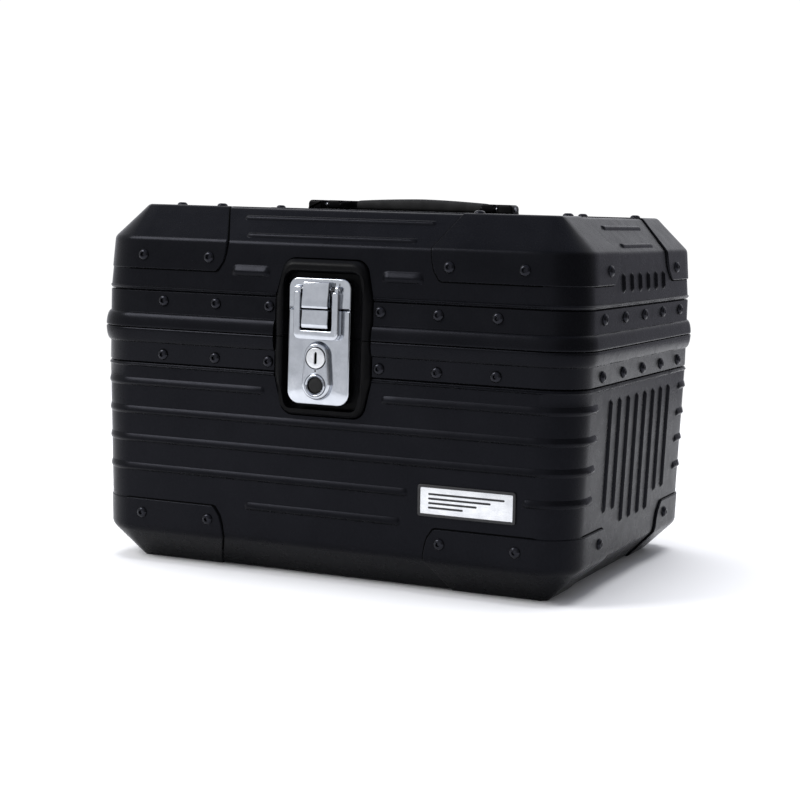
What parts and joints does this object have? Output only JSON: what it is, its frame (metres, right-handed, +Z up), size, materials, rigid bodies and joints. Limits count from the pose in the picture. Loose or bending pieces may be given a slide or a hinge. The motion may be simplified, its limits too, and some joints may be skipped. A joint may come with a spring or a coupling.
{
  "type": "motorcycle top case",
  "caption": "Black ribbed motorcycle top case with a hinged lid on slotted stays, corner protectors, a chrome hasp lock and a folding handle.",
  "frame": {"origin": "centre of the base plate's underside, on the ground plane", "axes": "+X to the right seen from the lock side, -Y out of the lock side, +Y towards the hinges, +Z up"},
  "size_m": [0.438, 0.3604, 0.3099],
  "materials": {
    "black_panel": "satin black powder coat",
    "black_frame": "satin black powder coat",
    "black_plastic": "satin moulded plastic",
    "chrome": "satin chrome plate",
    "steel": "zinc-plated steel",
    "zinc": "bright zinc plate",
    "rubber": "matt rubber",
    "lining": "needled felt",
    "name_plate": "brushed, with a dark print"
  },
  "bodies": {
    "box": {"box_shell": "black_panel", "box_rim_frame": "black_frame", "bezel_lower": "black_plastic", "latch_housing": "chrome", "lock_barrel": "zinc", "button_ring": "chrome", "catch_spring": "steel", "badge": "name_plate", "base_plate": "steel", "floor_mat": "lining", "box_protector_front_left": "black_frame", "box_protector_front_right": "black_frame", "box_protector_rear_left": "black_frame", "box_protector_rear_right": "black_frame", "base_bolt_front_left": "zinc", "base_bolt_front_right": "zinc", "base_bolt_rear_left": "zinc", "base_bolt_rear_right": "zinc", "hinge_leaf_box_left": "black_frame", "hinge_leaf_box_right": "black_frame", "hinge_pin_left": "steel", "hinge_pin_right": "steel", "stay_stud_box_left": "zinc", "stay_stud_box_right": "zinc"},
    "lid": {"lid_shell": "black_panel", "lid_rim_frame": "black_frame", "lid_seal": "rubber", "bezel_upper": "black_plastic", "strike_plate": "chrome", "pivot_block": "chrome", "hasp_pin": "steel", "hasp_spring": "steel", "lid_protector_front_left": "black_frame", "lid_protector_front_right": "black_frame", "lid_protector_rear_left": "black_frame", "lid_protector_rear_right": "black_frame", "hinge_leaf_lid_left": "black_frame", "hinge_leaf_lid_right": "black_frame", "stay_stud_lid_left": "zinc", "stay_stud_lid_right": "zinc", "handle_bracket_left": "black_plastic", "handle_bracket_right": "black_plastic", "handle_pin_left": "steel", "handle_pin_right": "steel"},
    "stay_left": {"stay_left": "steel"},
    "stay_right": {"stay_right": "steel"},
    "hasp": {"hasp_lever": "chrome"},
    "lock_cylinder": {"lock_plug": "chrome", "lock_cam": "steel"},
    "button": {"release_button": "black_plastic"},
    "catch": {"catch_slide": "steel"},
    "handle": {"handle_grip": "black_plastic"}
  },
  "joints": [
    {"name": "lid_hinge", "type": "hinge", "parent": "box", "child": "lid", "pos_m": [0, 0.173, 0.1982], "axis": [-1, 0, 0], "range_deg": [0, 80]},
    {"name": "stay_left_pivot", "type": "hinge", "parent": "lid", "child": "stay_left", "pos_m": [-0.1985, 0.07641, 0.22408], "axis": [1, 0, 0], "range_deg": [0, 40]},
    {"name": "stay_right_pivot", "type": "hinge", "parent": "lid", "child": "stay_right", "pos_m": [0.1985, 0.07641, 0.22408], "axis": [1, 0, 0], "range_deg": [0, 40]},
    {"name": "hasp_pivot", "type": "hinge", "parent": "lid", "child": "hasp", "pos_m": [0, -0.17755, 0.2381], "axis": [-1, 0, 0], "range_deg": [0, 90]},
    {"name": "lock_turn", "type": "hinge", "parent": "box", "child": "lock_cylinder", "pos_m": [0, -0.1659, 0.1831], "axis": [0, 1, 0], "range_deg": [0, 90]},
    {"name": "button_press", "type": "slide", "parent": "box", "child": "button", "axis": [0, 1, 0], "range_m": [0, 0.003], "stiffness_N_per_m": 600},
    {"name": "catch_drop", "type": "slide", "parent": "box", "child": "catch", "axis": [0, 0, -1], "range_m": [0, 0.003], "deforming": ["catch_spring"]},
    {"name": "handle_fold", "type": "hinge", "parent": "lid", "child": "handle", "pos_m": [0, 0, 0.3046], "axis": [1, 0, 0], "range_deg": [0, 90]}
  ],
  "couplings": [
    {"joint": "stay_left_pivot", "follows": "lid_hinge", "ratio": 0.5},
    {"joint": "stay_right_pivot", "follows": "lid_hinge", "ratio": 0.5},
    {"joint": "catch_drop", "follows": "button_press", "ratio": 1}
  ]
}
